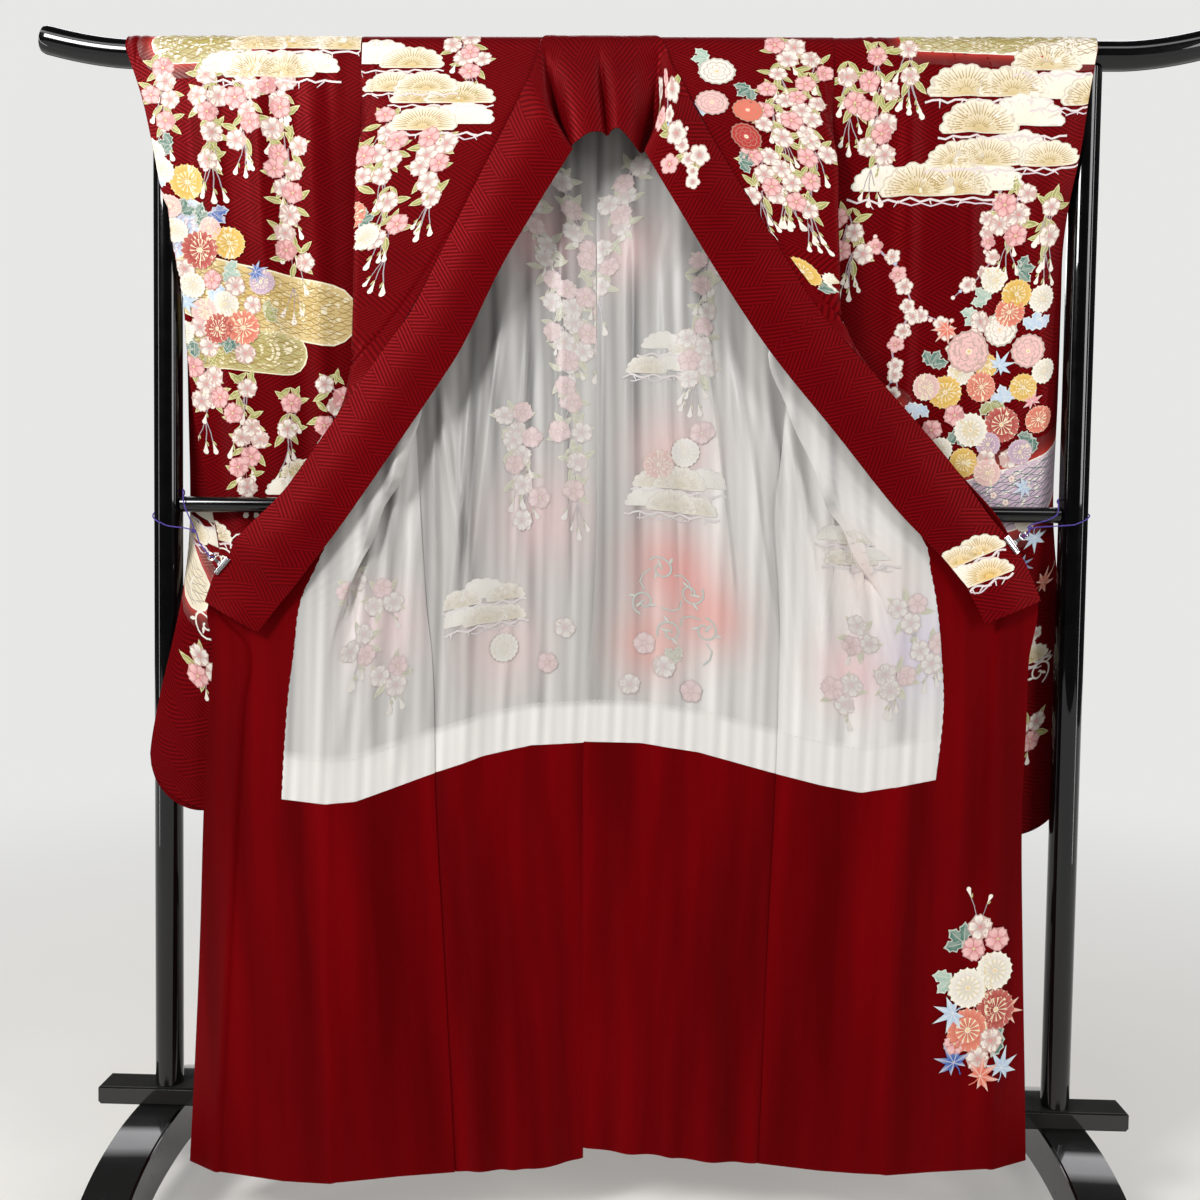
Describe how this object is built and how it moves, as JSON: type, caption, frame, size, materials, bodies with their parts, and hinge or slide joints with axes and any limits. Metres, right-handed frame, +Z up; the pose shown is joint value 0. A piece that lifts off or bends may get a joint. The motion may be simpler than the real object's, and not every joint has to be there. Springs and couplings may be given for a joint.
{
  "type": "furisode on a kimono stand",
  "caption": "Long-sleeved crimson silk furisode with printed blossom, hung over the bar of a black lacquered stand with its fronts clipped open over the lining.",
  "frame": {"origin": "centre of the stand's footprint, on the floor", "axes": "+Z up, +X along the bars to the viewer's right, -Y the side the opened fronts face"},
  "size_m": [1.6818, 0.5, 1.7114],
  "materials": {
    "crimson_silk": "figured silk with a soft sheen and a printed blossom pattern",
    "crimson_lining": "plain silk",
    "white_lining": "sheer glossy silk",
    "black_lacquer": "black gloss lacquer",
    "nickel": "bright nickel plate",
    "purple_cord": "twisted cord"
  },
  "bodies": {
    "root": {"body_left": "crimson_silk", "body_right": "crimson_silk", "okumi_left": "crimson_silk", "okumi_right": "crimson_silk", "sleeve_left": "crimson_silk", "sleeve_right": "crimson_silk", "collar_left": "crimson_silk", "over_collar": "crimson_silk", "collar_right": "crimson_silk", "lining_left": "white_lining", "lining_right": "white_lining", "skirt_lining_back_left": "crimson_lining", "skirt_lining_back_right": "crimson_lining", "skirt_lining_front_left": "crimson_lining", "skirt_lining_front_right": "crimson_lining", "okumi_lining_left": "crimson_lining", "okumi_lining_right": "crimson_lining", "top_bar": "black_lacquer", "mid_bar": "black_lacquer", "base_beam": "black_lacquer", "post_left": "black_lacquer", "post_right": "black_lacquer", "foot_left": "black_lacquer", "foot_right": "black_lacquer", "clip_left": "nickel", "clip_right": "nickel", "cord_left": "purple_cord", "cord_right": "purple_cord"}
  },
  "joints": []
}
